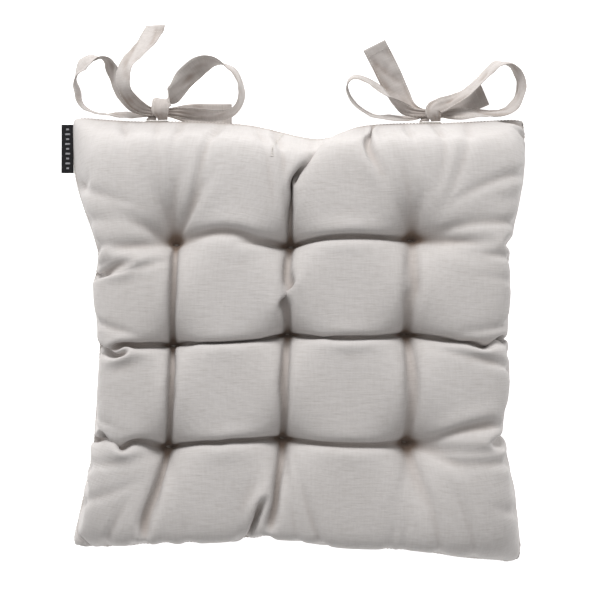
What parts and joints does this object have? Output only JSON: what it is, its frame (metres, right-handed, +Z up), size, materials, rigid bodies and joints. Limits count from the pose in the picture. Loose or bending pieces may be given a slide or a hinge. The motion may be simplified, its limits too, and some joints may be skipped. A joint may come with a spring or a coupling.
{
  "type": "chair seat pad",
  "caption": "Square tufted seat pad with knife-edge seam, filled with fibre, with fabric ties knotted in bows at the rear edge and a side label.",
  "frame": {"origin": "bottom centre of the box round the whole object, bows and label included", "axes": "+Z up through the pad's thickness, +Y towards the rear edge with the bows, +X to the right seen from the front"},
  "size_m": [0.4696, 0.5436, 0.074],
  "materials": {
    "cover_canvas": "matt plain-woven cotton canvas with a fine cross rib",
    "fibre": "loose polyester fibre",
    "thread": "matt spun thread",
    "label_weave": "fine satin weave, black"
  },
  "bodies": {
    "pad": {"top_panel": "cover_canvas", "bottom_panel": "cover_canvas", "fibre_filling": "fibre", "edge_seam_thread": "thread", "closing_stitch": "thread", "tuft_thread_1": "thread", "tuft_thread_2": "thread", "tuft_thread_3": "thread", "tuft_thread_4": "thread", "tuft_thread_5": "thread", "tuft_thread_6": "thread", "tuft_thread_7": "thread", "tuft_thread_8": "thread", "tuft_thread_9": "thread", "left_tie_tack": "thread", "right_tie_tack": "thread", "label_stitch": "thread"},
    "left_bow": {"left_tie_loop": "cover_canvas", "left_tie_wrap": "cover_canvas"},
    "right_bow": {"right_tie_loop": "cover_canvas", "right_tie_wrap": "cover_canvas"},
    "label": {"side_label": "label_weave"}
  },
  "joints": [
    {"name": "left_bow_hinge", "type": "hinge", "parent": "pad", "child": "left_bow", "pos_m": [-0.13859, 0.1732, 0.024], "axis": [1, 0, 0], "range_deg": [-45, 40]},
    {"name": "right_bow_hinge", "type": "hinge", "parent": "pad", "child": "right_bow", "pos_m": [0.13711, 0.17181, 0.024], "axis": [1, 0, 0], "range_deg": [-45, 40]},
    {"name": "label_hinge", "type": "hinge", "parent": "pad", "child": "label", "pos_m": [-0.22211, 0.14518, 0.024], "axis": [0, 1, 0], "range_deg": [-70, 60]}
  ]
}
